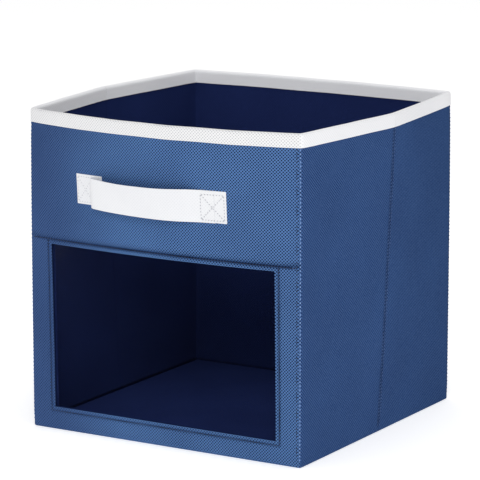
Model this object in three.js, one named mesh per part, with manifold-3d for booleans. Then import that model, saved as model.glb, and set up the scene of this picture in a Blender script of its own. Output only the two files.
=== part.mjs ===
// Collapsible fabric storage bin: nonwoven walls stiffened with board, a clear window in the
// front, a strap handle, a bound rim and a loose base insert. Millimetres, +Z up, the front
// faces -Y, and the origin is on the floor under the middle of the bin.

import * as THREE from 'three';
import { mergeVertices } from 'three/addons/utils/BufferGeometryUtils.js';
import Module from 'manifold-3d';

const wasm = await Module();
wasm.setup();

// ---- Driving dimensions ----------------------------------------------------------------

const size = { width: 267, depth: 267, height: 279 };

const cloth = { skin: 0.6, board: 2, lining: 0.5, gap: 0.3 };
const wall = cloth.skin + cloth.board + cloth.lining + 2 * cloth.gap;

// What the bin holds pushes its front out, most at the middle of the rim and not at all at
// the floor and the corners.
const bulge = { depth: 20, power: 1.6 };

const rim = { drop: 11.8, tape: 0.5, gap: 0.3 };
const wallTop = size.height - rim.tape;
const clothTop = wallTop - rim.gap;

const windowHole = { left: -110, right: 110, bottom: 20, top: 164 };
const windowSheet = { overlap: 8, thickness: 0.4 };
const boardSeam = 168;
const thread = { width: 0.6, thickness: 0.3, offset: 3.6 };

const strap = {
  left: -78.7,
  right: 69.3,
  endLength: 25,
  height: 25.8,
  thickness: 0.9,
  endThickness: 1.4,
  bottomLeft: 203.3,
  bottomRight: 200.2,
  sag: 1,
};

// The walls fold about upright lines: at a corner 1 mm inside the lining, and at a side's
// crease 3 mm outside the skin. Every panel stops short of its neighbours there.
const hinge = { creaseGap: 0.4, cornerGap: 0.9 };

const base = { sheet: 0.6, lip: 4.9, wallFoot: 5.2 };
const insert = { floor: 0.9, cover: 0.4, board: 2, gap: 0.3, clear: 5.1 };

const segments = { across: 24, up: 10 };

// ---- Materials -------------------------------------------------------------------------

const finishes = {
  blueNonwoven: { color: 0x3f649c, roughness: 0.85 },
  whiteNonwoven: { color: 0xeeeff2, roughness: 0.8 },
  darkLining: { color: 0x26324a, roughness: 0.9 },
  greyboard: { color: 0x9a8f7e, roughness: 0.9 },
  clearVinyl: { color: 0xdfe8ee, roughness: 0.1, transparent: true, opacity: 0.25 },
  blueThread: { color: 0x2c4878, roughness: 0.6 },
  whiteThread: { color: 0xd9dbe0, roughness: 0.6 },
};

function finish(name) {
  return new THREE.MeshStandardMaterial({ metalness: 0, ...finishes[name] });
}

// ---- Solids ----------------------------------------------------------------------------

function toSolid(geometry) {
  const bare = geometry.clone();
  bare.deleteAttribute('normal');
  bare.deleteAttribute('uv');
  const merged = mergeVertices(bare, 1e-5);
  return new wasm.Manifold(new wasm.Mesh({
    numProp: 3,
    vertProperties: new Float32Array(merged.attributes.position.array),
    triVerts: new Uint32Array(merged.index.array),
  }));
}

function toGeometry(solid) {
  const cut = solid.getMesh();
  const geometry = new THREE.BufferGeometry();
  geometry.setAttribute('position', new THREE.BufferAttribute(cut.vertProperties, 3));
  geometry.setIndex(new THREE.BufferAttribute(cut.triVerts, 1));
  geometry.computeVertexNormals();
  return geometry;
}

// A box given by its lowest and highest corners.
function block(low, high, across = 1, up = 1) {
  const [x, y, z] = high.map((value, axis) => value - low[axis]);
  const geometry = new THREE.BoxGeometry(x, y, z, across, 1, up);
  return geometry.translate(low[0] + x / 2, low[1] + y / 2, low[2] + z / 2);
}

function cut(geometry, ...tools) {
  return toGeometry(tools.reduce((solid, tool) => solid.subtract(toSolid(tool)), toSolid(geometry)));
}

function join(...geometries) {
  return toGeometry(geometries.map(toSolid).reduce((whole, solid) => whole.add(solid)));
}

function bulgeAt(x, z) {
  const side = x / (size.width / 2);
  const rise = Math.max(0, z / size.height) ** bulge.power;
  return bulge.depth * (1 - side * side) * rise;
}

// Pushes a flat front piece out to the shape of the filled bin.
function bulged(geometry) {
  const points = geometry.attributes.position;
  for (let i = 0; i < points.count; i += 1) {
    points.setY(i, points.getY(i) - bulgeAt(points.getX(i), points.getZ(i)));
  }
  geometry.computeVertexNormals();
  return geometry;
}

function mesh(name, geometry, material) {
  const piece = new THREE.Mesh(geometry, finish(material));
  piece.name = name;
  return piece;
}

// ---- Front wall ------------------------------------------------------------------------

const frontFace = -size.depth / 2;
const frontInside = frontFace + wall;

// Depths of the layers behind the front face: skin, then board or vinyl, then lining.
const layer = {
  skin: [0, cloth.skin],
  board: [cloth.skin + cloth.gap, cloth.skin + cloth.gap + cloth.board],
  sheet: [cloth.skin + cloth.gap, cloth.skin + cloth.gap + windowSheet.thickness],
  lining: [wall - cloth.lining, wall],
};

function frontSlab([outer, inner], left, right, bottom, top) {
  const low = [left, frontFace + outer, bottom];
  const high = [right, frontFace + inner, top];
  return bulged(block(low, high, segments.across, segments.up));
}

function through(left, right, bottom, top) {
  const reach = bulge.depth + wall;
  return block([left, frontFace - reach, bottom], [right, frontInside + reach, top]);
}

function windowCut(margin) {
  const { left, right, bottom, top } = windowHole;
  return through(left - margin, right + margin, bottom - margin, top + margin);
}

function frontPieces() {
  const half = size.width / 2;
  const edge = half - cloth.skin - cloth.gap;
  const { left, right, bottom } = windowHole;
  const { overlap } = windowSheet;
  const boardCut = overlap + cloth.gap;
  const seam = { below: boardSeam - cloth.gap, above: boardSeam + cloth.gap };

  const skin = cut(frontSlab(layer.skin, -half, half, 0, clothTop), windowCut(0));
  const lining = cut(frontSlab(layer.lining, -half, half, 0, clothTop), windowCut(1));
  const upperBoard = frontSlab(layer.board, -edge, edge, seam.above, clothTop);
  const windowBoard = cut(
    frontSlab(layer.board, -edge, edge, cloth.gap, seam.below),
    through(left - boardCut, right + boardCut, bottom - boardCut, size.height),
  );
  const sheet = frontSlab(layer.sheet, left - overlap, right + overlap, bottom - overlap, seam.below);

  return [
    mesh('front_skin', skin, 'blueNonwoven'),
    mesh('front_lining', lining, 'darkLining'),
    mesh('front_upper_board', upperBoard, 'greyboard'),
    mesh('front_window_board', windowBoard, 'greyboard'),
    mesh('window_sheet', sheet, 'clearVinyl'),
    mesh('window_stitching', windowStitching(), 'blueThread'),
  ];
}

function windowStitching() {
  const { left, right, bottom, top } = windowHole;
  const outer = thread.offset + thread.width;
  const depths = [-cloth.gap - thread.thickness, -cloth.gap];
  const band = frontSlab(depths, left - outer, right + outer, bottom - outer, top + outer);
  return cut(band, windowCut(thread.offset));
}

// ---- Rim binding -----------------------------------------------------------------------

const tapeOut = rim.gap + rim.tape;

// The tape is a channel over the top of a wall whose inside face is on y = 0. Its inner leg
// may be shorter than its outer one, so that it clears the tape of the wall round the corner.
function tapeOver(outerEnds, innerEnds, across = 1, place = (geometry) => geometry) {
  const [from, to] = outerEnds;
  const low = size.height - rim.drop;
  const tape = block([from, -wall - tapeOut, low], [to, tapeOut, size.height], across);
  const slot = block([from - 1, -wall - rim.gap, low - 1], [to + 1, rim.gap, wallTop], across);
  const [start, end] = innerEnds;
  const reach = size.height + 1;
  const beforeLeg = block([from - 1, rim.gap, low - 1], [start, tapeOut + 1, reach], across);
  const afterLeg = block([end, rim.gap, low - 1], [to + 1, tapeOut + 1, reach], across);
  return cut(...[tape, slot, beforeLeg, afterLeg].map(place));
}

function frontBinding() {
  const half = size.width / 2 + tapeOut;
  const inner = size.width / 2 - wall - tapeOut - cloth.gap;
  const onFront = (geometry) => bulged(geometry.translate(0, frontInside, 0));
  const tape = tapeOver([-half, half], [-inner, inner], segments.across, onFront);
  return mesh('front_binding', tape, 'whiteNonwoven');
}

// ---- Handle ----------------------------------------------------------------------------

const strapSlope = (strap.bottomRight - strap.bottomLeft) / (strap.right - strap.left);
const strapInner = { left: strap.left + strap.endLength, right: strap.right - strap.endLength };

function strapBottom(x) {
  return strap.bottomLeft + strapSlope * (x - strap.left);
}

// The strap's own line seen from above: x, and how far it stands off the wall.
const strapLine = [
  [strapInner.left + cloth.gap, 2.7],
  [strapInner.left - 2.5, 6],
  [strapInner.left - 1, 10],
  [strapInner.left + 10, 12.4],
  [-14, 13.2],
  [10, 12.4],
  [28, 9],
  [strapInner.right - 6, 4.2],
  [strapInner.right - cloth.gap, 2.7],
];

function tiltedWithWall(geometry, sag = 0) {
  const points = geometry.attributes.position;
  const span = strapInner.right - strapInner.left;
  for (let i = 0; i < points.count; i += 1) {
    const x = points.getX(i);
    const along = THREE.MathUtils.clamp((x - strapInner.left) / span, 0, 1);
    points.setZ(i, points.getZ(i) + strapBottom(x) - sag * Math.sin(Math.PI * along));
  }
  return bulged(geometry);
}

function strapEnd(name, from) {
  const outer = frontFace - cloth.gap - strap.endThickness;
  const low = [from, outer, 0];
  const high = [from + strap.endLength, frontFace - cloth.gap, strap.height];
  return mesh(name, tiltedWithWall(block(low, high, 6, 4)), 'whiteNonwoven');
}

function strapLoop() {
  const points = strapLine.map(([x, off]) => new THREE.Vector3(x, frontFace - off, 0));
  const middle = new THREE.CatmullRomCurve3(points).getSpacedPoints(40);
  const side = (sign) => middle.map((point, i) => {
    const before = middle[Math.max(0, i - 1)];
    const after = middle[Math.min(middle.length - 1, i + 1)];
    const along = after.clone().sub(before).normalize();
    const reach = sign * strap.thickness / 2;
    return new THREE.Vector2(point.x - along.y * reach, point.y + along.x * reach);
  });
  const outline = new THREE.Shape([...side(1), ...side(-1).reverse()]);
  const band = new THREE.ExtrudeGeometry(outline, {
    depth: strap.height,
    steps: 4,
    bevelEnabled: false,
  });
  return mesh('handle_strap', tiltedWithWall(band, strap.sag), 'whiteNonwoven');
}

// A square of stitching crossed corner to corner, as one flat piece of thread.
function crossStitch(name, from) {
  const margin = 3;
  const depth = [frontFace - 2 * cloth.gap - strap.endThickness - thread.thickness, thread.thickness];
  const wide = strap.endLength - 2 * margin;
  const high = strap.height - 2 * margin;
  const bar = (length, angle, x, z) => {
    const geometry = new THREE.BoxGeometry(length, depth[1], thread.width, 6, 1, 1);
    geometry.rotateY(angle);
    return geometry.translate(x, depth[0] + depth[1] / 2, z);
  };
  const diagonal = Math.hypot(wide, high);
  const tilt = Math.atan2(high, wide);
  const [x, z] = [from + strap.endLength / 2, strap.height / 2];
  const square = join(
    bar(wide + thread.width, 0, x, z - high / 2),
    bar(wide + thread.width, 0, x, z + high / 2),
    bar(high + thread.width, Math.PI / 2, x - wide / 2, z),
    bar(high + thread.width, Math.PI / 2, x + wide / 2, z),
    bar(diagonal, tilt, x, z),
    bar(diagonal, -tilt, x, z),
  );
  return mesh(name, tiltedWithWall(square), 'whiteThread');
}

// ---- Side and back walls ---------------------------------------------------------------

// Layers of a straight wall, lying along +X from `from` to `to` with the inside face on
// y = 0 and the skin at y = -wall.
function straightWall(prefix, from, to, innerEnds = [from, to]) {
  const foot = base.wallFoot;
  const slab = ([outer, inner], inset) => block(
    [from + inset, outer - wall, foot + inset],
    [to - inset, inner - wall, clothTop],
  );
  return [
    mesh(`${prefix}_skin`, slab(layer.skin, 0), 'blueNonwoven'),
    mesh(`${prefix}_board`, slab(layer.board, cloth.gap), 'greyboard'),
    mesh(`${prefix}_lining`, slab(layer.lining, 0), 'darkLining'),
    mesh(`${prefix}_binding`, tapeOver([from, to], innerEnds), 'whiteNonwoven'),
  ];
}

// A group that stands a straight wall on the side it belongs to.
function standing(pieces, x, y, turn) {
  const group = new THREE.Group();
  group.position.set(x, y, 0);
  group.rotation.z = turn;
  group.add(...pieces);
  return group;
}

function sideHalves(side) {
  const inside = size.width / 2 - wall;
  const end = size.depth / 2 - wall - hinge.cornerGap;
  const gap = hinge.creaseGap;
  const [first, second] = side === 'right' ? ['front', 'rear'] : ['rear', 'front'];
  const pieces = [
    ...straightWall(`${side}_${first}`, -end, -gap),
    ...straightWall(`${side}_${second}`, gap, end),
  ];
  const sign = side === 'right' ? 1 : -1;
  return standing(pieces, sign * inside, 0, sign * Math.PI / 2);
}

function backWall() {
  const half = size.width / 2;
  const inner = half - wall - tapeOut - cloth.gap;
  return standing(straightWall('back', -half, half, [-inner, inner]), 0, -frontInside, Math.PI);
}

// ---- Base ------------------------------------------------------------------------------

// The floor cloth turns up a few millimetres round the sides and back, where the walls stand.
function baseCloth() {
  const half = size.width / 2;
  const back = size.depth / 2;
  const front = frontInside + hinge.cornerGap;
  const { sheet, lip } = base;
  return mesh('base_cloth', join(
    block([-half, front, 0], [half, back, sheet]),
    block([-half, front, 0], [-half + sheet, back, lip]),
    block([half - sheet, front, 0], [half, back, lip]),
    block([-half, back - sheet, 0], [half, back, lip]),
  ), 'blueNonwoven');
}

// The stiff insert is a board between two faces of cloth that are joined round its edge.
function insertPieces() {
  const { floor, cover, board, gap, clear } = insert;
  const x = size.width / 2 - clear;
  const y = size.depth / 2 - clear;
  const level = {
    board: floor + cover + gap,
    face: floor + cover + gap + board + gap,
    top: floor + cover + gap + board + gap + cover,
  };
  const slab = (inset, low, high) => block([inset - x, inset - y, low], [x - inset, y - inset, high]);
  const wrap = cut(slab(0, floor, level.face), slab(cover, floor + cover, level.top));
  return [
    mesh('insert_wrap', wrap, 'darkLining'),
    mesh('insert_board', slab(cover + gap, level.board, level.board + board), 'greyboard'),
    mesh('insert_face', slab(cover + gap, level.face, level.top), 'darkLining'),
  ];
}

// ---- The bin ---------------------------------------------------------------------------

const bin = new THREE.Group();
bin.add(
  ...frontPieces(),
  frontBinding(),
  strapEnd('handle_end_left', strap.left),
  strapEnd('handle_end_right', strapInner.right),
  strapLoop(),
  crossStitch('handle_stitching_left', strap.left),
  crossStitch('handle_stitching_right', strapInner.right),
  sideHalves('right'),
  sideHalves('left'),
  backWall(),
  baseCloth(),
  ...insertPieces(),
);

export default bin;
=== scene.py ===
import math
import bpy
import bmesh
from mathutils import Matrix, Vector, noise


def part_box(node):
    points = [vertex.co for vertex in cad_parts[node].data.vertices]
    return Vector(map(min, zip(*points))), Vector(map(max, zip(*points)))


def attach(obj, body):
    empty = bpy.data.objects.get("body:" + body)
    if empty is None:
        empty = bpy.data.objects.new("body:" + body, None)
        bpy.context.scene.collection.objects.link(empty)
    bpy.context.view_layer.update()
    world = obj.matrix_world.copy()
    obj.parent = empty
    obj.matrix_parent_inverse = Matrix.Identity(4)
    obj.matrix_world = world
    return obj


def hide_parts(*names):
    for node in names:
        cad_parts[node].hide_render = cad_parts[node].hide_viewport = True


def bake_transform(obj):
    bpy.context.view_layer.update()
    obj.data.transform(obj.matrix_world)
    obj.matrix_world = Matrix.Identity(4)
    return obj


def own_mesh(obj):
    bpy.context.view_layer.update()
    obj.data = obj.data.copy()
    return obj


# Fabric storage bin: board walls covered in embossed nonwoven, white bound rim,
# strap handle, clear window in the front, loose base insert. Metres, Z up, front faces -Y.
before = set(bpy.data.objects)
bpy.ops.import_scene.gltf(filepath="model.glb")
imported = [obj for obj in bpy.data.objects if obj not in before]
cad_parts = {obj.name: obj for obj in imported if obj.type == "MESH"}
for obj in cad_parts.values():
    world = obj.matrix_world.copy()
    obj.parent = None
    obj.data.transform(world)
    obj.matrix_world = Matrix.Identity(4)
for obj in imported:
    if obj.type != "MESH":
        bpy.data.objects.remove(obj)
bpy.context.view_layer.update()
mm = 0.001
print("frame loaded:", len(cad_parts), "nodes")


# camera and lights
camera = {"lookAt": (-0.0041, -0.0004, 0.1543), "azimuth": 30.88, "elevation": 11.55,
          "distance": 2.565, "lens": 220.2}
aim = Vector(camera["lookAt"])
azimuth = math.radians(camera["azimuth"])
elevation = math.radians(camera["elevation"])
back = Vector((math.sin(azimuth) * math.cos(elevation),
               -math.cos(azimuth) * math.cos(elevation), math.sin(elevation)))
cameraData = bpy.data.cameras.new("camera")
cameraData.lens = camera["lens"]
cameraData.sensor_width = 36
cameraData.clip_end = 50
cameraObject = bpy.data.objects.new("camera", cameraData)
cameraObject.location = aim + back * camera["distance"]
cameraObject.rotation_euler = (-back).to_track_quat("-Z", "Y").to_euler()
bpy.context.scene.collection.objects.link(cameraObject)
bpy.context.scene.camera = cameraObject

studio = {
    "surround": 0.62, "flag": 0.12,
    "lamps": [  # name, place, aim, size across and up, watts
        ("keyLamp", (0.97, -2.08, 1.43), (0, 0, 0.13), (0.9, 0.9), 18),
        ("topLamp", (0.1, 0.2, 2.2), (0, 0, 0.1), (1.6, 1.6), 9),
    ],
}
for name, place, towards, size, power in studio["lamps"]:
    lampData = bpy.data.lights.new(name, "AREA")
    lampData.shape = "RECTANGLE"
    lampData.size, lampData.size_y = size
    lampData.energy = power
    lamp = bpy.data.objects.new(name, lampData)
    lamp.location = place
    lamp.rotation_euler = (Vector(towards) - Vector(place)).to_track_quat("-Z", "Y").to_euler()
    lamp.visible_glossy = False          # no lamp shape shows in the window
    bpy.context.scene.collection.objects.link(lamp)
world = bpy.data.worlds.new("studioWorld")
world.use_nodes = True
bpy.context.scene.view_settings.view_transform = "Standard"
print("camera and lights set")


# small helpers
def linear(hexColour):
    channels = [int(hexColour[i:i + 2], 16) / 255 for i in (1, 3, 5)]
    return [c / 12.92 if c <= 0.04045 else ((c + 0.055) / 1.055) ** 2.4 for c in channels] + [1]


def clamp(value):
    return max(0.0, min(1.0, value))


def ease(value, low, high):
    t = clamp((value - low) / (high - low))
    return t * t * (3 - 2 * t)


def addNode(tree, kind, inputs=None, **settings):
    node = tree.nodes.new("ShaderNode" + kind)
    for key, value in settings.items():
        setattr(node, key, value)
    for key, value in (inputs or {}).items():
        if isinstance(value, bpy.types.NodeSocket):
            tree.links.new(value, node.inputs[key])
        else:
            node.inputs[key].default_value = value
    return node


def newMaterial(name):
    material = bpy.data.materials.new(name)
    material.use_nodes = True
    tree = material.node_tree
    tree.nodes.clear()
    return material, tree, addNode(tree, "OutputMaterial")


# the surround lights the bin a little less than it shows behind it, and a dark flag stands
# where the window would mirror it
worldTree = world.node_tree
worldTree.nodes.clear()
ray = addNode(worldTree, "LightPath")
level = addNode(worldTree, "MapRange", {"Value": ray.outputs["Is Camera Ray"],
                                        "To Min": studio["surround"], "To Max": 1.0})
flag = addNode(worldTree, "MapRange", {"Value": ray.outputs["Is Glossy Ray"],
                                       "To Min": 1.0, "To Max": studio["flag"]})
lit = addNode(worldTree, "Math", {0: level.outputs[0], 1: flag.outputs[0]}, operation="MULTIPLY")
surround = addNode(worldTree, "Background", {"Color": linear("#ffffff"),
                                             "Strength": lit.outputs[0]})
addNode(worldTree, "OutputWorld", {"Surface": surround.outputs[0]})
bpy.context.scene.world = world


# materials: each is a node tree made from its own look
weave = {"fibres": 900.0, "patches": 14.0,           # noise cells to the metre
         # along the cloth from the middle of the front, where the painted light and shade change
         "paintedSideStart": (131.5 * mm, 133.5 * mm), "paintedLeftWeldRange": (-130 * mm, 20 * mm),
         "leftPaintedShade": (-130 * mm, -10 * mm), "rearPaintedShade": (250 * mm, 380 * mm)}
white = linear("#ffffff")


def nonwoven(name, look):
    material, tree, output = newMaterial(name)
    cloth = addNode(tree, "UVMap", uv_map="cloth")
    turned = addNode(tree, "Mapping", {"Vector": cloth.outputs[0],
                                       "Rotation": (0, 0, math.radians(45)),
                                       "Scale": (math.tau / look["pitch"],) * 3})
    parts = addNode(tree, "SeparateXYZ", {0: turned.outputs[0]})
    waveA = addNode(tree, "Math", {0: parts.outputs["X"]}, operation="COSINE")
    waveB = addNode(tree, "Math", {0: parts.outputs["Y"]}, operation="COSINE")
    waves = addNode(tree, "Math", {0: waveA.outputs[0], 1: waveB.outputs[0]}, operation="ADD")
    dimple = addNode(tree, "MapRange", {"Value": waves.outputs[0], "From Min": look["dimple"][0],
                                        "From Max": look["dimple"][1]},
                     interpolation_type="SMOOTHSTEP")
    place = addNode(tree, "TexCoord")
    fibres = addNode(tree, "TexNoise", {"Vector": place.outputs["Object"], "Scale": weave["fibres"],
                                        "Detail": 3.0, "Roughness": 0.65})
    patches = addNode(tree, "TexNoise", {"Vector": place.outputs["Object"],
                                         "Scale": weave["patches"], "Detail": 3.0,
                                         "Roughness": 0.5})
    worn = addNode(tree, "MapRange", {"Value": patches.outputs["Fac"], "From Min": 0.3,
                                      "From Max": 0.7, "To Min": 0.0, "To Max": look["wornShare"]})
    flats = addNode(tree, "SeparateXYZ", {0: cloth.outputs[0]})
    across = addNode(tree, "Math", {0: flats.outputs["X"]}, operation="ABSOLUTE")
    onSide = addNode(tree, "MapRange", {"Value": across.outputs[0],
                                        "From Min": weave["paintedSideStart"][0],
                                        "From Max": weave["paintedSideStart"][1]})
    # painted light: the side walls take their own copies of the colours, a darker blue as shade and
    # a brighter white on the tape as light
    face = addNode(tree, "Mix", {"Factor": onSide.outputs[0], "A": linear(look["colour"]),
                                 "B": linear(look["sidePaintedLightColour"])}, data_type="RGBA")
    weld = addNode(tree, "Mix", {"Factor": onSide.outputs[0], "A": linear(look["dip"]),
                                 "B": linear(look["sideDip"])}, data_type="RGBA")
    shade = addNode(tree, "Mix", {"Factor": worn.outputs[0], "A": white,
                                  "B": linear(look["worn"])}, data_type="RGBA")
    # painted shade: the crease attribute darkens the colour along the seam above the window, round
    # the window's stitching and down the side creases
    crease = addNode(tree, "Attribute", attribute_name="crease")
    paintedCreaseShade = addNode(tree, "Mix", {"Factor": crease.outputs["Fac"], "A": white,
                                    "B": linear("#61697c")}, data_type="RGBA")
    ground = addNode(tree, "Mix", {"Factor": 1.0, "A": face.outputs["Result"],
                                   "B": shade.outputs["Result"]}, data_type="RGBA",
                     blend_type="MULTIPLY")
    fuzz = addNode(tree, "MapRange", {"Value": fibres.outputs["Fac"], "From Min": 0.3,
                                      "From Max": 0.7, "To Min": 0.0, "To Max": look["fuzz"]})
    fuzzed = addNode(tree, "Mix", {"Factor": fuzz.outputs[0], "A": ground.outputs["Result"],
                                   "B": linear(look["fibre"])}, data_type="RGBA")
    # painted light: the welds show less towards the left of the front, where less light catches
    # them
    paintedLeftWeldFade = addNode(tree, "MapRange", {"Value": flats.outputs["X"],
                                         "From Min": weave["paintedLeftWeldRange"][0],
                                         "From Max": weave["paintedLeftWeldRange"][1],
                                         "To Min": look["dipShareShadedLeft"], "To Max": look["dipShare"]})
    dipShare = addNode(tree, "Math", {0: dimple.outputs[0], 1: paintedLeftWeldFade.outputs[0]},
                       operation="MULTIPLY")
    colour = addNode(tree, "Mix", {"Factor": dipShare.outputs[0], "A": fuzzed.outputs["Result"],
                                   "B": weld.outputs["Result"]}, data_type="RGBA")
    gloss = addNode(tree, "MapRange", {"Value": dimple.outputs[0], "To Min": look["roughness"],
                                       "To Max": look["roughness"] - 0.15})
    height = addNode(tree, "Math", {0: fibres.outputs["Fac"], 1: 0.25}, operation="MULTIPLY")
    relief = addNode(tree, "Math", {0: height.outputs[0], 1: dimple.outputs[0]},
                     operation="SUBTRACT")
    bump = addNode(tree, "Bump", {"Strength": look["bump"], "Distance": look["depth"],
                                  "Height": relief.outputs[0]})
    creaseShaded = addNode(tree, "Mix", {"Factor": 1.0, "A": colour.outputs["Result"],
                                   "B": paintedCreaseShade.outputs["Result"]}, data_type="RGBA",
                     blend_type="MULTIPLY")
    # painted shade: darker towards the left edge of the front and towards the back
    leftShadeRamp = addNode(tree, "MapRange", {"Value": flats.outputs["X"],
                                          "From Min": weave["leftPaintedShade"][0],
                                          "From Max": weave["leftPaintedShade"][1]},
                       interpolation_type="SMOOTHSTEP")
    leftPaintedShade = addNode(tree, "Mix", {"Factor": leftShadeRamp.outputs[0], "A": linear(look["leftPaintedShade"]),
                                    "B": white}, data_type="RGBA")
    rearPaintedShade = addNode(tree, "MapRange", {"Value": across.outputs[0],
                                         "From Min": weave["rearPaintedShade"][0],
                                         "From Max": weave["rearPaintedShade"][1], "To Min": 1.0,
                                         "To Max": look["rearPaintedShade"]})
    paintedShading = addNode(tree, "Mix", {"Factor": 1.0, "A": leftPaintedShade.outputs["Result"],
                                "B": rearPaintedShade.outputs[0]}, data_type="RGBA",
                  blend_type="MULTIPLY")
    shadedColour = addNode(tree, "Mix", {"Factor": 1.0, "A": creaseShaded.outputs["Result"],
                                    "B": paintedShading.outputs["Result"]}, data_type="RGBA",
                      blend_type="MULTIPLY")
    shader = addNode(tree, "BsdfPrincipled", {
        "Base Color": shadedColour.outputs["Result"], "Roughness": gloss.outputs[0],
        "Normal": bump.outputs[0], "IOR": 1.49, "Specular IOR Level": look["specular"],
        "Sheen Weight": look["sheen"], "Sheen Roughness": 0.45,
        "Sheen Tint": linear(look["fibre"])})
    tree.links.new(shader.outputs[0], output.inputs["Surface"])
    return material


# spunbonded polypropylene, point embossed: soft matt face, tiny glossy welds on a diagonal grid.
# The welds are 1.93 mm apart, about three times the real spacing, so that they show.
# its side walls take a darker copy of this blue as painted shade
blueNonwoven = nonwoven("blueSpunbondPolypropylene", {
    "pitch": 1.93 * mm, "dimple": (-0.2, 1.0), "colour": "#4f74aa", "dip": "#0b142a",
    "sidePaintedLightColour": "#345285", "sideDip": "#1a2b52", "worn": "#dcdde2", "wornShare": 0.7,
    "fibre": "#7fa0d0", "fuzz": 0.2, "dipShare": 1.0, "dipShareShadedLeft": 0.6, "leftPaintedShade": "#cbc5ce",
    "rearPaintedShade": 0.84, "roughness": 0.55, "specular": 0.0, "bump": 0.5, "depth": 0.25 * mm,
    "sheen": 0.0})
# the same blue cloth for the inside, painted dark navy as the shade inside the bin, its welds
# barely darker
liningNonwoven = nonwoven("navyPaintedShadeLining", {
    "pitch": 1.93 * mm, "dimple": (0.1, 1.1), "colour": "#1f2b58", "dip": "#141a38",
    "sidePaintedLightColour": "#1f2b58", "sideDip": "#141a38", "worn": "#d8d8de", "wornShare": 0.7,
    "fibre": "#46537f", "fuzz": 0.05, "dipShare": 0.25, "dipShareShadedLeft": 0.25, "leftPaintedShade": "#ffffff",
    "rearPaintedShade": 1.0, "roughness": 0.7, "specular": 0.0, "bump": 0.4, "depth": 0.2 * mm,
    "sheen": 0.0})
# white nonwoven tape: bright, lightly embossed, a faint grey shade in its welds
whiteNonwoven = nonwoven("whiteSpunbondPolypropylene", {
    "pitch": 1.93 * mm, "dimple": (0.1, 1.3), "colour": "#eaeaea", "dip": "#aaaaaf",
    "sidePaintedLightColour": "#f6f6f8", "sideDip": "#dadbe0", "worn": "#f6f6f8", "wornShare": 0.7,
    "fibre": "#f6f6f8", "fuzz": 0.3, "dipShare": 0.75, "dipShareShadedLeft": 0.45, "leftPaintedShade": "#ffffff",
    "rearPaintedShade": 1.0, "roughness": 0.65, "specular": 0.4, "bump": 0.25, "depth": 0.15 * mm,
    "sheen": 0.1})
# white nonwoven of the strap and its ends: smoother, its welds hardly there
strapNonwoven = nonwoven("whiteStrapPolypropylene", {
    "pitch": 1.93 * mm, "dimple": (0.1, 1.3), "colour": "#e9eaec", "dip": "#c4c5cb",
    "sidePaintedLightColour": "#e9eaec", "sideDip": "#c4c5cb", "worn": "#f2f2f5", "wornShare": 0.7,
    "fibre": "#f2f2f5", "fuzz": 0.3, "dipShare": 0.22, "dipShareShadedLeft": 0.22, "leftPaintedShade": "#ffffff",
    "rearPaintedShade": 1.0, "roughness": 0.65, "specular": 0.4, "bump": 0.15, "depth": 0.1 * mm,
    "sheen": 0.1})


def thread(name, base, ply):
    material, tree, output = newMaterial(name)
    place = addNode(tree, "TexCoord")
    twist = addNode(tree, "TexNoise", {"Vector": place.outputs["Object"], "Scale": 1600.0,
                                       "Detail": 2.0})
    share = addNode(tree, "MapRange", {"Value": twist.outputs["Fac"], "From Min": 0.35,
                                       "From Max": 0.65})
    colour = addNode(tree, "Mix", {"Factor": share.outputs[0], "A": linear(base),
                                   "B": linear(ply)}, data_type="RGBA")
    bump = addNode(tree, "Bump", {"Strength": 0.4, "Distance": 0.1 * mm,
                                  "Height": twist.outputs["Fac"]})
    shader = addNode(tree, "BsdfPrincipled", {
        "Base Color": colour.outputs["Result"], "Roughness": 0.5, "Normal": bump.outputs[0],
        "IOR": 1.5, "Sheen Weight": 0.15})
    tree.links.new(shader.outputs[0], output.inputs["Surface"])
    return material


# polyester sewing thread: slightly lustrous, its plies a tone apart
blueThread = thread("bluePolyesterThread", "#6587c0", "#8aa9da")
creaseThread = thread("midBluePolyesterThread", "#2c4a80", "#43659c")
# navy thread: real stitch rows drawn near-black to paint the shade in their needle holes and the
# shadow under the fold above the window
shadeThread = thread("navyThreadPaintedShade", "#0d1733", "#182750")
whiteThread = thread("whitePolyesterThread", "#999aa3", "#bbbcc4")


def chipboard(name, base, fleck):
    material, tree, output = newMaterial(name)
    place = addNode(tree, "TexCoord")
    stretched = addNode(tree, "Mapping", {"Vector": place.outputs["Object"],
                                          "Scale": (300.0, 300.0, 900.0)})
    pulp = addNode(tree, "TexNoise", {"Vector": stretched.outputs[0], "Scale": 1.0,
                                      "Detail": 5.0, "Roughness": 0.7})
    share = addNode(tree, "MapRange", {"Value": pulp.outputs["Fac"], "From Min": 0.35,
                                       "From Max": 0.65})
    colour = addNode(tree, "Mix", {"Factor": share.outputs[0], "A": linear(base),
                                   "B": linear(fleck)}, data_type="RGBA")
    bump = addNode(tree, "Bump", {"Strength": 0.3, "Distance": 0.1 * mm,
                                  "Height": pulp.outputs["Fac"]})
    shader = addNode(tree, "BsdfPrincipled", {
        "Base Color": colour.outputs["Result"], "Roughness": 0.9, "Normal": bump.outputs[0],
        "IOR": 1.5, "Specular IOR Level": 0.2})
    tree.links.new(shader.outputs[0], output.inputs["Surface"])
    return material


# recycled grey bookbinding board: matt, with pulp flecks
greyBoard = chipboard("greyBindingBoard", "#8d8980", "#a5a198")


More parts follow.
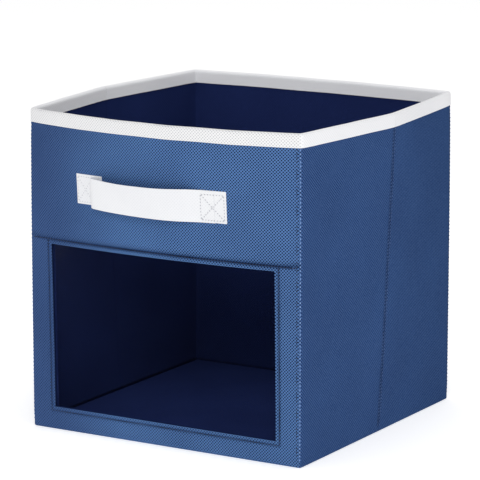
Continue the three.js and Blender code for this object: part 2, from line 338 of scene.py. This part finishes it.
def clearFilm(name, look):
    material, tree, output = newMaterial(name)
    place = addNode(tree, "TexCoord")
    haze = addNode(tree, "TexNoise", {"Vector": place.outputs["Object"], "Scale": 30.0,
                                      "Detail": 4.0})
    roughness = addNode(tree, "MapRange", {"Value": haze.outputs["Fac"], "From Min": 0.3,
                                           "From Max": 0.7, "To Min": 0.03, "To Max": 0.08})
    see = addNode(tree, "BsdfTransparent", {"Color": linear(look["tint"])})
    shine = addNode(tree, "BsdfGlossy", {"Roughness": roughness.outputs[0]})
    edge = addNode(tree, "Fresnel", {"IOR": 1.5})
    share = addNode(tree, "Math", {0: edge.outputs[0], 1: look["shine"]}, operation="MULTIPLY")
    mixed = addNode(tree, "MixShader", {0: share.outputs[0], 1: see.outputs[0],
                                        2: shine.outputs[0]})
    tree.links.new(mixed.outputs[0], output.inputs["Surface"])
    return material


# soft clear PVC sheet: see-through, glossy, a breath of haze
clearVinyl = clearFilm("clearSoftVinyl", {"tint": "#fafbfc", "shine": 0.1})
print("materials made")


# the shape of the bin
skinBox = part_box("back_skin")
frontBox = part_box("front_binding")
half = skinBox[1].y                      # middle of the bin to the outer cloth
footTop = skinBox[0].z                   # the walls stand on the base cloth's hem
clothTop = skinBox[1].z
rimTop = frontBox[1].z
tapeLow = frontBox[0].z
shell = {
    "cornerRadius": 2.5 * mm, "innerRadius": 1.0 * mm,
    "frontBow": 20 * mm, "frontPower": 1.6,
    "sideBow": 14 * mm, "sidePower": 0.85, "creaseSoft": 8 * mm,
    "backBow": 7 * mm,
    "bowFrom": 90 * mm, "bowFade": 30 * mm,      # a bow starts this far from the middle
    "cornerPull": 0.2 * mm, "cornerReach": 8 * mm, "rimPull": 0.8 * mm,
}
seamHeight = 168 * mm                    # fold across the front, above the window
window = {"side": 110 * mm, "bottom": 20 * mm, "top": 164 * mm, "stitchOff": 3.5 * mm,
          "vinylSide": 118 * mm, "vinylBottom": 12 * mm, "vinylTop": 167.7 * mm}


def cornerRadius(inset):
    return max(shell["cornerRadius"] - inset, shell["innerRadius"])


def straightHalf(inset):
    return half - inset - cornerRadius(inset)


# A place round the bin is a station: 0 front, 4 right, 8 back, -4 left; a wall is straight
# for one station each side of its middle and the corner takes up the next two.
def around(station, inset):
    wall = math.floor(station / 4 + 0.5)
    t = station - 4 * wall
    side = -1 if t < 0 else 1
    reach = straightHalf(inset)
    if abs(t) <= 1:
        place, out = Vector((t * reach, inset - half, 0)), Vector((0, -1, 0))
    else:
        turn = (abs(t) - 1) * math.pi / 4
        out = Vector((side * math.sin(turn), -math.cos(turn), 0))
        place = Vector((side * reach, -reach, 0)) + out * cornerRadius(inset)
    return Matrix.Rotation(math.pi / 2 * wall, 3, "Z") @ place


def girth(station):                      # distance along the outer cloth
    wall = math.floor(station / 4 + 0.5)
    t = station - 4 * wall
    side = -1 if t < 0 else 1
    bend = shell["cornerRadius"] * math.pi / 4
    return wall * 2 * (straightHalf(0) + bend) + side * (
        min(abs(t), 1) * straightHalf(0) + max(abs(t) - 1, 0) * bend)


def tent(across):
    soft = shell["creaseSoft"]
    return 1 - (math.hypot(across, soft) - soft) / (math.hypot(half, soft) - soft)


def settle(place):                       # the full bin bows out towards its open top
    x, y, z = place
    rise = max(z, 0) / rimTop
    onSide, onFront, onBack = (clamp((far - shell["bowFrom"]) / shell["bowFade"])
                               for far in (abs(x), -y, y))
    dx = math.copysign(shell["sideBow"] * tent(y) * rise ** shell["sidePower"] * onSide, x)
    dy = -shell["frontBow"] * (1 - (x / half) ** 2) * rise ** shell["frontPower"] * onFront
    dy += shell["backBow"] * (1 - (x / half) ** 2) * rise * onBack
    away = max(half - abs(x), 0) + max(half - abs(y), 0)
    reach = shell["cornerReach"] * (1 + 0.5 * rise ** 4)
    pull = (shell["cornerPull"] + shell["rimPull"] * rise ** 4) * math.exp(-(away / reach) ** 2)
    dx -= math.copysign(pull, x)
    dy -= math.copysign(pull, y)
    return Vector((x + dx, y + dy, z))


def onCloth(station, inset, z):
    place = around(station, inset)
    place.z = z
    return settle(place)


def onFront(x, z, out):
    return onCloth(x / straightHalf(0), -out, z)


def ripple(station, z, size, scale):     # slight unevenness of cloth over board, outwards only
    spot = Vector((girth(station) / scale, z / scale, 3.7))
    return size * (0.5 + 0.5 * noise.noise(spot))


# making pieces: cut flat, then hung on the bin
def flatPiece(stations, rise, across, up):
    bm = bmesh.new()
    bmesh.ops.create_grid(bm, x_segments=across, y_segments=up, size=0.5)
    bmesh.ops.scale(bm, vec=(stations[1] - stations[0], rise[1] - rise[0], 1), verts=bm.verts)
    bmesh.ops.translate(bm, vec=(sum(stations) / 2, sum(rise) / 2, 0), verts=bm.verts)
    return bm


def score(bm, axis, places):             # edges where the cloth is cut, folded or stitched
    for at in places:
        bmesh.ops.bisect_plane(bm, geom=bm.verts[:] + bm.edges[:] + bm.faces[:], dist=1e-7,
                               plane_co=[at if i == axis else 0 for i in range(3)],
                               plane_no=[1 if i == axis else 0 for i in range(3)])


def cutOut(bm, low, high):
    middle = {face: face.calc_center_median() for face in bm.faces}
    inside = [face for face, at in middle.items()
              if low[0] < at.x < high[0] and low[1] < at.y < high[1]]
    bmesh.ops.delete(bm, geom=inside, context="FACES")


def drawCloth(bm, flatPlace):            # where a vertex lies on the flat cloth, for the weave
    cut = bm.loops.layers.uv.new("cloth")
    for face in bm.faces:
        for loop in face.loops:
            loop[cut].uv = flatPlace(loop.vert.co)


def hang(bm, place, shadeAt=None):      # from the flat cut to its place on the bin
    drawCloth(bm, lambda at: (girth(at.x), at.y))
    # the painted crease shade is kept on each vertex as the crease attribute
    if shadeAt:
        crease = bm.verts.layers.float.new("crease")
        for vert in bm.verts:
            vert[crease] = shadeAt(*vert.co.xy)
    for vert in bm.verts:
        vert.co = place(*vert.co.xy)


def thicken(bm, thickness):
    bm.normal_update()
    bmesh.ops.solidify(bm, geom=bm.faces[:], thickness=thickness)


def finishPiece(name, bm, material, sharp=40):
    mesh = bpy.data.meshes.new(name)
    bm.to_mesh(mesh)
    bm.free()
    mesh.materials.append(material)
    mesh.shade_smooth()
    mesh.set_sharp_from_angle(angle=math.radians(sharp))
    piece = bpy.data.objects.new(name, mesh)
    bpy.context.scene.collection.objects.link(piece)
    return piece


def foldSide(piece):               # gives a side wall's piece a mesh of its own
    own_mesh(piece)


def bendCorner(piece, corner):           # cloth round a corner that works as a hinge; on one body it follows that body, on two it is only baked in place
    bodies = corner["bodies"]
    if len(bodies) == 1:
        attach(piece, bodies[0])
        return
    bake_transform(piece)


walls = [  # name, body, stations, side of the fold
    {"name": "front", "body": "front_wall", "span": (-1, 1), "side": 0},
    {"name": "right_front", "body": "right_front", "span": (3, 4), "side": 1},
    {"name": "right_rear", "body": "right_rear", "span": (4, 5), "side": 1},
    {"name": "back", "body": "back_wall", "span": (7, 9), "side": 0},
    {"name": "left_rear", "body": "left_rear", "span": (-5, -4), "side": -1},
    {"name": "left_front", "body": "left_front", "span": (-4, -3), "side": -1},
]
corners = [
    {"name": "front_right", "bodies": ("front_wall", "right_front"), "from": 1, "to": 3},
    {"name": "back_right", "bodies": ("right_rear", "back_wall"), "from": 5, "to": 7},
    {"name": "back_left", "bodies": ("back_wall",), "from": 9, "to": 11},
    {"name": "front_left", "bodies": ("left_front", "front_wall"), "from": -3, "to": -1},
]
cornerLap = 0.04                         # the corner cloth reaches this far onto each wall
foldGap = 0.0013                         # and a side's halves stop this short of its crease


def clothSpan(wall):
    low, high = wall["span"]
    return [low + (cornerLap if low % 4 == 3 else 0 if low % 4 else foldGap),
            high - (cornerLap if high % 4 == 1 else 0 if high % 4 else foldGap)]


def panelSpan(part, perStation, cornerSteps):    # a wall's or a corner's strip, grid columns
    if "span" in part:
        low, high = part["span"]
        return clothSpan(part), round((high - low) * perStation)
    return (part["from"] - cornerLap, part["to"] + cornerLap), cornerSteps


def setBody(piece, wall):
    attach(piece, wall["body"])
    if wall["side"]:
        foldSide(piece)


# outer cloth
skin = {"thickness": 0.6 * mm, "cell": 4 * mm, "ripple": 0.5 * mm, "rippleScale": 38 * mm,
        "seamStep": 1.0 * mm, "seamDip": 0.6 * mm, "seamWidth": 0.9 * mm,
        "pucker": 0.3 * mm, "puckerWidth": 1.3 * mm,
        "sideDip": 0.5 * mm, "sideWidth": 1.6 * mm, "edgeRelief": 0.25 * mm}
# how dark and how wide the painted shade lies at the seam, the window's stitching and the side
# creases, weaker towards the left
creaseShading = {"seam": 0.95, "aboveSeam": 2.6 * mm, "belowSeam": 1.0 * mm, "row": 0.6,
           "rowWidth": 1.1 * mm, "side": 0.35, "sideWidth": 1.0 * mm, "leftShare": 0.5}


def frontCut(cloth, width):              # takes the window out, returns the cloth's area
    scale = 1 / straightHalf(0)
    cutOut(cloth, (-window["side"] * scale, window["bottom"]),
           (window["side"] * scale, window["top"]))
    return width * (clothTop - footTop) - 2 * window["side"] * (window["top"] - window["bottom"])


def toWindowRow(x, z):                   # distance from the row of stitches round the window
    off = window["stitchOff"]
    dx = abs(x) - (window["side"] + off)
    dz = max(window["bottom"] - off - z, z - window["top"] - off)
    return abs(max(dx, dz)) if max(dx, dz) < 0 or min(dx, dz) < 0 else math.hypot(dx, dz)


def skinRelief(station, z):
    out = ripple(station, z, skin["ripple"], skin["rippleScale"])
    wall = math.floor(station / 4 + 0.5)
    bound = ease(z, tapeLow - 14 * mm, tapeLow - 3 * mm) + 1 - ease(z, footTop, footTop + 9 * mm)
    if wall == 0:
        x = station * straightHalf(0)
        out += skin["seamStep"] * ease(z, seamHeight, seamHeight + 2.2 * mm)
        out -= skin["seamDip"] * math.exp(-((z - seamHeight) / skin["seamWidth"]) ** 2)
        dip = math.exp(-(toWindowRow(x, z) / skin["puckerWidth"]) ** 2)
        out -= skin["pucker"] * dip
    across = (station - 4 * wall) * straightHalf(0)
    if wall in (1, -1):
        out -= skin["sideDip"] * math.exp(-(across / skin["sideWidth"]) ** 2)
    edge = 1 - ease(max(half - abs(across), 0), 6 * mm, 20 * mm)
    return (out * (1 - edge) + skin["edgeRelief"] * edge) * (1 - bound)


def paintedSkinShade(station, z):              # painted shade where folds and needle rows lie
    wall = math.floor(station / 4 + 0.5)
    across = (station - 4 * wall) * straightHalf(0)
    shade = 0
    if wall == 0:
        above = z - seamHeight
        spread = creaseShading["aboveSeam" if above > 0 else "belowSeam"]
        shade = creaseShading["seam"] * math.exp(-(above / spread) ** 2)
        toRow = toWindowRow(across, z) / creaseShading["rowWidth"]
        shade = max(shade, creaseShading["row"] * math.exp(-toRow ** 2))
        left = creaseShading["leftShare"]
        shade *= left + (1 - left) * ease(across, -130 * mm, -20 * mm)
    elif wall in (1, -1):
        shade = creaseShading["side"] * math.exp(-(across / creaseShading["sideWidth"]) ** 2)
    return shade


def hangSkin(station, z):
    return onCloth(station, -skinRelief(station, z), z)


for wall in walls:
    span = clothSpan(wall)
    width = (span[1] - span[0]) * straightHalf(0)
    cloth = flatPiece(span, (footTop, clothTop), round(width / skin["cell"]),
                      round((clothTop - footTop) / skin["cell"]))
    area = None
    if wall["name"] == "front":
        off = window["stitchOff"]
        scale = 1 / straightHalf(0)
        hem = (0, 1.5 * mm, off - 0.7 * mm, off, off + 0.7 * mm, off + 2 * mm)
        score(cloth, 0, [side * (window["side"] + d) * scale for side in (-1, 1) for d in hem])
        score(cloth, 1, [window["bottom"] - d for d in hem])
        score(cloth, 1, [window["top"], window["top"] + 1.5 * mm] + [
            seamHeight + d * mm for d in (-1.6, -0.8, -0.3, 0.3, 0.8, 1.6, 3.0)])
        area = frontCut(cloth, width)
    hang(cloth, hangSkin, paintedSkinShade)
    thicken(cloth, skin["thickness"])
    piece = finishPiece(wall["name"] + "_cover", cloth, blueNonwoven)
    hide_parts(wall["name"] + "_skin")
    setBody(piece, wall)
for corner in corners:
    span, across = panelSpan(corner, 0, 14)
    cloth = flatPiece(span, (footTop, clothTop), across,
                      round((clothTop - footTop) / skin["cell"]))
    hang(cloth, hangSkin, paintedSkinShade)
    thicken(cloth, skin["thickness"])
    piece = finishPiece(corner["name"] + "_cover", cloth, blueNonwoven)
    bendCorner(piece, corner)
print("outer cloth on:", len(walls), "walls and", len(corners), "corners")


# boards inside the walls
board = {"inset": 1.2 * mm, "thickness": 1.7 * mm, "gap": 0.3 * mm, "cell": 8 * mm,
         # stations left free at a fold, at a corner, and beside the corner with no hinge
         "foldEnd": 0.003, "cornerEnd": 0.006, "openEnd": 0.018}


def hangBoard(station, z):
    return onCloth(station, board["inset"], z)


def boardPiece(name, wall, span, rise, node, cut=None):
    width = (span[1] - span[0]) * straightHalf(0)
    sheet = flatPiece(span, rise, round(width / board["cell"]),
                      round((rise[1] - rise[0]) / board["cell"]))
    if cut:
        score(sheet, 0, [cut[0][0], cut[1][0]])
        score(sheet, 1, [cut[0][1]])
        cutOut(sheet, *cut)
    hang(sheet, hangBoard)
    thicken(sheet, board["thickness"])
    piece = finishPiece(name, sheet, greyBoard)
    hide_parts(node)
    setBody(piece, wall)
    return piece


for wall in walls:
    low, high = wall["span"]
    end = board["openEnd" if wall["name"] == "left_rear" else "cornerEnd"]
    span = (low + (end if low % 4 else board["foldEnd"]),
            high - (end if high % 4 else board["foldEnd"]))
    if wall["name"] == "front":
        side = (window["vinylSide"] + board["gap"]) / straightHalf(0)
        boardPiece("front_cardboard", wall, span, (seamHeight + board["gap"], clothTop),
                   "front_upper_board")
        boardPiece("window_cardboard", wall, span, (board["gap"], seamHeight - board["gap"]),
                   "front_window_board",
                   ((-side, window["vinylBottom"] - board["gap"]), (side, seamHeight)))
    else:
        boardPiece(wall["name"] + "_cardboard", wall, span, (footTop + board["gap"], clothTop),
                   wall["name"] + "_board")
print("boards in")


# lining
lining = {"inset": 3.2 * mm, "thickness": 0.5 * mm, "cell": 6 * mm, "sag": 0.35 * mm,
          "sagScale": 45 * mm}


def hangLining(station, z):
    sag = ripple(station + 40, z, lining["sag"], lining["sagScale"])
    return onCloth(station, lining["inset"] - 0.1 * mm - 0.2 * sag, z)


for wall in walls + corners:
    span, across = panelSpan(wall, 22, 10)
    width = girth(span[1]) - girth(span[0])
    cloth = flatPiece(span, (footTop, clothTop), across,
                      round((clothTop - footTop) / lining["cell"]))
    area = None
    if wall["name"] == "front":
        scale = 1 / straightHalf(0)
        score(cloth, 0, [-window["side"] * scale, window["side"] * scale])
        score(cloth, 1, [window["bottom"], window["top"]])
        area = frontCut(cloth, width)
    hang(cloth, hangLining)
    thicken(cloth, lining["thickness"])
    piece = finishPiece(wall["name"] + "_inner_cloth", cloth, liningNonwoven)
    if "span" in wall:
        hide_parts(wall["name"] + "_lining")
        setBody(piece, wall)
    else:
        bendCorner(piece, wall)
print("lining in")


# white binding over the rim
tape = {"outer": -0.8 * mm, "inner": 4.5 * mm, "thickness": 0.55 * mm, "wave": 0.25 * mm}


def tapeSection(along):                  # up the outside, over the top, down the inside
    radius = (tape["inner"] - tape["outer"]) / 2
    leg = rimTop - radius - tapeLow
    turn = (along - leg) / radius
    if turn <= 0:
        return tape["outer"], tapeLow + along
    if turn >= math.pi:
        return tape["inner"], tapeLow + 2 * leg + math.pi * radius - along
    return tape["outer"] + radius * (1 - math.cos(turn)), rimTop - radius + radius * math.sin(turn)


def hangTape(station, along):
    inset, z = tapeSection(along)
    spot = Vector((girth(station) / (30 * mm), along / (40 * mm), 9))
    place = onCloth(station, inset, z)
    place.z += tape["wave"] * noise.noise(spot)
    return place


tapeWidth = 2 * (rimTop - tapeLow) + (math.pi - 2) * (tape["inner"] - tape["outer"]) / 2
for wall in walls + corners:
    span, across = panelSpan(wall, 26, 14)
    cloth = flatPiece(span, (0, tapeWidth), across, 26)
    hang(cloth, hangTape)
    thicken(cloth, tape["thickness"])
    piece = finishPiece(wall["name"] + "_rim_tape", cloth, whiteNonwoven)
    if "span" in wall:
        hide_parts(wall["name"] + "_binding")
        setBody(piece, wall)
    else:
        bendCorner(piece, wall)
print("rim bound")


# base cloth and insert
def closedTray(across, steps):           # once round the bin, and from 0 to 1 along the cloth
    return flatPiece((-8, 8), (0, 1), across, steps)


base = {"roundOver": 1.4 * mm, "thickness": 0.6 * mm}


def hangBase(station, along):       # along: 0 in the middle of the bottom, 1 at the hem
    radius = base["roundOver"]
    if along < 0.5:
        place = around(station, radius) * (0.05 + 0.95 * along / 0.5)
        place.z = 0
        return settle(place) if along > 0.45 else place
    turn = clamp((along - 0.5) / 0.3) * math.pi / 2
    z = radius * (1 - math.cos(turn)) + (footTop - radius) * clamp((along - 0.8) / 0.2)
    return onCloth(station, radius * (1 - math.sin(turn)), z)


bm = closedTray(160, 20)
cut = bm.loops.layers.uv.new("cloth")
flat = {vert: vert.co.copy() for vert in bm.verts}
for vert in bm.verts:
    vert.co = hangBase(*flat[vert].xy)
bm.normal_update()
for face in bm.faces:
    for loop in face.loops:
        at = flat[loop.vert]
        upright = face.calc_center_median().z > 0.4 * mm
        loop[cut].uv = (girth(at.x), loop.vert.co.z) if upright else loop.vert.co.xy
bmesh.ops.remove_doubles(bm, verts=bm.verts, dist=1e-5)
bmesh.ops.holes_fill(bm, edges=[e for e in bm.edges if e.is_boundary and e.verts[0].co.z < mm])
thicken(bm, base["thickness"])
baseCover = finishPiece("bottom_cloth", bm, blueNonwoven)
baseCover.data.materials.append(liningNonwoven)   # fused to the cloth's inner face, its navy a painted shade
for face in baseCover.data.polygons:
    inward = face.normal.z > 0.3 or face.normal.xy.dot(face.center.xy) < 0
    face.material_index = 1 if inward else 0
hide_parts("base_cloth")
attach(baseCover, "front_wall")
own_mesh(baseCover)

insert = {"half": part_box("insert_wrap")[1].x, "low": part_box("insert_wrap")[0].z,
          "high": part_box("insert_face")[1].z, "corner": 1.9 * mm, "edge": 1.6 * mm,
          "cover": 0.4 * mm}


def insertOutline(station, inset):
    wall = math.floor(station / 4 + 0.5)
    t = station - 4 * wall
    reach = insert["half"] - insert["corner"]
    side = -1 if t < 0 else 1
    turn = max(abs(t) - 1, 0) * math.pi / 4
    out = Vector((side * math.sin(turn), -math.cos(turn), 0))
    place = Vector((side * reach if abs(t) > 1 else t * reach, -reach, 0))
    place += out * (insert["corner"] - inset)
    return Matrix.Rotation(math.pi / 2 * wall, 3, "Z") @ place


def hangInsert(station, along):     # along: 0 under the middle, 1 over the middle
    low, high, edge = insert["low"], insert["high"], insert["edge"]
    far = abs(along - 0.5) / 0.5         # 0 at the edge, 1 in the middle
    if far < 0.15:
        turn = (along - 0.5) / 0.075 * math.pi / 2
        place = insertOutline(station, edge * (1 - math.cos(turn)))
        place.z = (low + high) / 2 + (high - low) / 2 * math.sin(turn)
        return place
    share = 1 - (far - 0.15) / 0.85
    place = insertOutline(station, edge) * (0.04 + 0.96 * share)
    puff = noise.noise(Vector((place.x / 0.05, place.y / 0.05, 2))) * 0.25 * mm * (1 - share ** 8)
    place.z = high - 0.3 * mm + puff + 0.3 * mm * share if along > 0.5 else low
    return place


bm = closedTray(112, 60)
for vert in bm.verts:
    vert.co = hangInsert(*vert.co.xy)
drawCloth(bm, lambda at: at.xy)
bmesh.ops.remove_doubles(bm, verts=bm.verts, dist=1e-5)
bmesh.ops.holes_fill(bm, edges=[e for e in bm.edges if e.is_boundary])
bmesh.ops.recalc_face_normals(bm, faces=bm.faces)
thicken(bm, insert["cover"])
# the insert's cover takes the lining's navy, painted shade inside the bin
insertCover = finishPiece("insert_cover", bm, liningNonwoven)
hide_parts("insert_wrap", "insert_face")
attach(insertCover, "insert")
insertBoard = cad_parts["insert_board"]
for i in range(max(1, len(insertBoard.material_slots))):
    if not insertBoard.material_slots:
        insertBoard.data.materials.append(greyBoard)
    insertBoard.material_slots[i].link = "OBJECT"
    insertBoard.material_slots[i].material = greyBoard
print("base and insert done")


# window
vinyl = {"inset": 1.9 * mm, "thickness": 0.3 * mm, "wave": 0.35 * mm, "waveScale": 55 * mm}


def hangVinyl(station, z):
    spot = Vector((girth(station) / vinyl["waveScale"], z / vinyl["waveScale"], 5))
    return onCloth(station, vinyl["inset"] + vinyl["wave"] * noise.noise(spot), z)


side = window["vinylSide"] / straightHalf(0)
film = flatPiece((-side, side), (window["vinylBottom"], window["vinylTop"]), 48, 32)
hang(film, hangVinyl)
thicken(film, vinyl["thickness"])
vinylPane = finishPiece("vinyl_pane", film, clearVinyl)
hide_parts("window_sheet")
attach(vinylPane, "front_wall")


# stitching
stitch = {"length": 2.0 * mm, "width": 0.9 * mm, "pitch": 2.9 * mm}
seamStitch = {"length": 2.3 * mm, "width": 1.0 * mm, "pitch": 2.9 * mm}
cornerStitch = {"length": 2.1 * mm, "width": 1.2 * mm, "pitch": 3.3 * mm,
                "holeShadeAt": -0.008, "rowAt": 0.8,     # stations past the corner's start
                "sunk": 0.3 * mm}


def sewRow(bm, place, length, size=stitch):
    count = max(1, round(length / size["pitch"]))
    for i in range(count):
        middle = (i + 0.5) * length / count
        start, end = (place(middle + d * size["length"] / 2) for d in (-1, 1))
        turn = (end - start).to_track_quat("Z", "Y").to_matrix().to_4x4()
        shape = Matrix.Diagonal((size["width"] / 2, size["width"] / 2, size["length"] / 2, 1))
        bmesh.ops.create_icosphere(bm, subdivisions=1, radius=1,
                                   matrix=Matrix.Translation(place(middle)) @ turn @ shape)


def finishStitches(name, bm, material):
    return finishPiece(name, bm, material, sharp=80)


def onSkin(station, z, sink=0):          # a thread lies on the cloth, sunk by half or more
    return onCloth(station, sink - skinRelief(station, z) - 0.12 * mm, z)


rows = bmesh.new()
scale = 1 / straightHalf(0)
farSide = window["side"] + window["stitchOff"]
rowLow, rowHigh = window["bottom"] - window["stitchOff"], window["top"] + window["stitchOff"]
sewRow(rows, lambda d: onSkin((d - farSide) * scale, rowLow), 2 * farSide)
# the seam's navy row also paints the shadow under the proud panel above it
sewRow(rows, lambda d: onSkin((d / straightHalf(0) - 1) * 0.985, seamHeight),
       2 * straightHalf(0), seamStitch)
for x in (-farSide, farSide):
    sewRow(rows, lambda d, x=x: onSkin(x * scale, rowLow + d), rowHigh - rowLow)
piece = finishStitches("window_thread", rows, shadeThread)
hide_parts("window_stitching")
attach(piece, "front_wall")

for corner in corners:
    rows = bmesh.new()
    holeShade = bmesh.new()
    # a navy row just before each corner paints the shade of the needle holes; the blue row is the
    # thread itself
    for rowOf, station in ((holeShade, corner["from"] + cornerStitch["holeShadeAt"]),
                           (rows, corner["from"] + cornerStitch["rowAt"])):
        sewRow(rowOf, lambda d, s=station: onSkin(s, footTop + d, cornerStitch["sunk"]),
               tapeLow - footTop, cornerStitch)
    piece = finishStitches(corner["name"] + "_thread", rows, blueThread)
    bendCorner(piece, corner)
    piece = finishStitches(corner["name"] + "_hole_shade_thread", holeShade, shadeThread)
    bendCorner(piece, corner)
for wall in walls:
    if not wall["side"]:
        continue
    rows = bmesh.new()
    station = 4 * wall["side"] + (-1 if wall["span"][0] % 4 == 3 else 1) * 0.012
    sewRow(rows, lambda d, s=station: onSkin(s, footTop + d), tapeLow - footTop)
    piece = finishStitches(wall["name"] + "_crease_thread", rows, creaseThread)
    setBody(piece, wall)
print("stitched")


# handle
handle = {"left": -78.0 * mm, "right": 69.3 * mm, "patch": 25 * mm, "height": 25.8 * mm,
          "leftPatch": 27.2 * mm, "rightPatchHeight": 27.1 * mm,
          "lowLeft": 203.3 * mm, "lowRight": 200.2 * mm, "sag": 1.5 * mm,
          "patchThick": 0.9 * mm, "patchBevel": 0.35 * mm, "patchOff": 0.8 * mm,
          "strapThick": 0.8 * mm, "crown": 0.5 * mm,
          "leftBox": (-76.5 * mm, -60.5 * mm), "rightBox": (46.5 * mm, 67.3 * mm),
          # how much narrower or wider the strap gets, round which x, over what length
          "pinch": (0.5 * mm, -30 * mm, 16 * mm), "spread": (1.6 * mm, 38 * mm, 26 * mm),
          # x and stand-off from the wall, from the left patch to the right one
          "line": [(-54.5, 1.9), (-58.2, 3.4), (-59.6, 6.2), (-57.4, 8.6), (-50.0, 9.9),
                   (-38.0, 10.6), (-14.0, 11.0), (10.0, 10.4), (26.0, 8.2), (36.0, 5.2),
                   (44.0, 2.9), (51.0, 2.1), (58.6, 1.9)]}


def strapLow(x):
    share = (x - handle["left"]) / (handle["right"] - handle["left"])
    low = handle["lowLeft"] + (handle["lowRight"] - handle["lowLeft"]) * share
    return low - handle["sag"] * 4 * share * (1 - share)


def strapHigh(x):                        # the strap is a little pinched on the left of the grip
    pinch, spread = (size * math.exp(-((x - middle) / reach) ** 2)
                     for size, middle, reach in (handle["pinch"], handle["spread"]))
    return strapLow(x) + handle["height"] - pinch + spread


def smoothLine(points, count):           # a soft curve through the points
    curve = []
    for i in range(len(points) - 1):
        a, b = Vector(points[max(i - 1, 0)]), Vector(points[i])
        c, d = Vector(points[i + 1]), Vector(points[min(i + 2, len(points) - 1)])
        for step in range(count):
            t = step / count
            curve.append(((2 * b) + (c - a) * t + (2 * a - 5 * b + 4 * c - d) * t * t
                          + (3 * b - a - 3 * c + d) * t * t * t) / 2)
    return curve + [Vector(points[-1])]


def patchPiece(name, left, low, width, height, node):
    bm = flatPiece((left, left + width), (low, low + height), 20, 20)
    drawCloth(bm, lambda at: at.xy)
    thicken(bm, handle["patchThick"])
    bmesh.ops.translate(bm, vec=(0, 0, handle["patchThick"]), verts=bm.verts)
    rims = [e for e in bm.edges if e.calc_face_angle(0) > 1]
    bmesh.ops.bevel(bm, geom=rims, offset=handle["patchBevel"], segments=2, profile=0.5,
                    affect="EDGES", material=-1)
    for vert in bm.verts:
        x, z, out = vert.co
        vert.co = onFront(x, z, out + handle["patchOff"])
    bmesh.ops.recalc_face_normals(bm, faces=bm.faces)
    piece = finishPiece(name, bm, strapNonwoven)
    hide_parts(node)
    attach(piece, "front_wall")


patchPiece("handle_left_end", handle["left"], handle["lowLeft"], handle["leftPatch"],
           handle["height"], "handle_end_left")
patchPiece("handle_right_end", handle["right"] - handle["patch"], handle["lowRight"],
           handle["patch"], handle["rightPatchHeight"], "handle_end_right")

strapLine = [Vector((x * mm, off * mm)) for x, off in smoothLine(handle["line"], 5)]
middleStep = min(range(len(strapLine)), key=lambda i: abs(strapLine[i].x + 4 * mm))


def strapPoint(step, share):             # step along the strap, share of its width
    i = max(0, min(len(strapLine) - 1, round(step)))
    x, off = strapLine[i]
    crown = handle["crown"] * (1 - (2 * share - 1) ** 2)
    return onFront(x, strapLow(x) * (1 - share) + strapHigh(x) * share, off + crown)


def strapPiece(name, first, last):
    bm = flatPiece((first, last), (0, 1), last - first, 12)
    reach = [0.0]                        # length along the strap at each step
    for a, b in zip(strapLine, strapLine[1:]):
        reach.append(reach[-1] + (b - a).length)
    drawCloth(bm, lambda at: (reach[round(at.x)], at.y * handle["height"]))
    for vert in bm.verts:
        vert.co = strapPoint(vert.co.x, vert.co.y)
    thicken(bm, handle["strapThick"])
    piece = finishPiece(name, bm, strapNonwoven)
    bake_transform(piece)
    return piece


grip = strapPoint(middleStep, 0.5)
leftStrap = strapPiece("handle_strap_left", 0, middleStep)
strapPiece("handle_strap_right", middleStep, len(strapLine) - 1)
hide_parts("handle_strap")

boxStitch = {"length": 1.5 * mm, "width": 0.75 * mm, "pitch": 2.6 * mm}


def onStrap(x, z):                       # on top of the strap's sewn end, or of the patch past it
    if not 44 * mm < x < 58.6 * mm:
        return onFront(x, z, (1.75 if x > 0 else 1.55) * mm)
    share = clamp((z - strapLow(x)) / (strapHigh(x) - strapLow(x)))
    nearest = min(strapLine, key=lambda at: abs(at.x - x))
    crown = handle["crown"] * (1 - (2 * share - 1) ** 2)
    return onFront(x, z, nearest.y + crown + 0.1 * mm)


def sewBox(name, box, low, node):        # a square of stitches with a cross in it
    rows = bmesh.new()
    x0, x1 = box
    z0, z1 = low + 2 * mm, low + handle["height"] - 2.2 * mm
    for a, b in (((x0, z0), (x1, z0)), ((x1, z0), (x1, z1)), ((x1, z1), (x0, z1)),
                 ((x0, z1), (x0, z0)), ((x0, z0), (x1, z1)), ((x0, z1), (x1, z0))):
        a, b = Vector(a), Vector(b)
        length = (b - a).length
        sewRow(rows, lambda d, a=a, b=b, n=length: onStrap(*a.lerp(b, d / n)), length, boxStitch)
    piece = finishStitches(name, rows, whiteThread)
    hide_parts(node)
    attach(piece, "front_wall")


sewBox("handle_left_thread", handle["leftBox"], handle["lowLeft"], "handle_stitching_left")
sewBox("handle_right_thread", handle["rightBox"], handle["lowRight"], "handle_stitching_right")
print("handle sewn on")


# floor
sweep = {"halfSide": 6, "colour": "#f7f7f7", "glow": 0.4}   # matt paper, kept white by a glow
floorLook, floorTree, floorOut = newMaterial("paperSweep")
paper = addNode(floorTree, "BsdfPrincipled", {
    "Base Color": linear(sweep["colour"]), "Roughness": 0.9, "Specular IOR Level": 0.1,
    "Emission Color": white, "Emission Strength": sweep["glow"]})
floorTree.links.new(paper.outputs[0], floorOut.inputs["Surface"])
bm = bmesh.new()
bmesh.ops.create_grid(bm, x_segments=1, y_segments=1, size=sweep["halfSide"])
floorMesh = bpy.data.meshes.new("paper_floor")
bm.to_mesh(floorMesh)
bm.free()
floorMesh.materials.append(floorLook)
paperFloor = bpy.data.objects.new("paper_floor", floorMesh)
bpy.context.scene.collection.objects.link(paperFloor)
paperFloor.visible_glossy = False
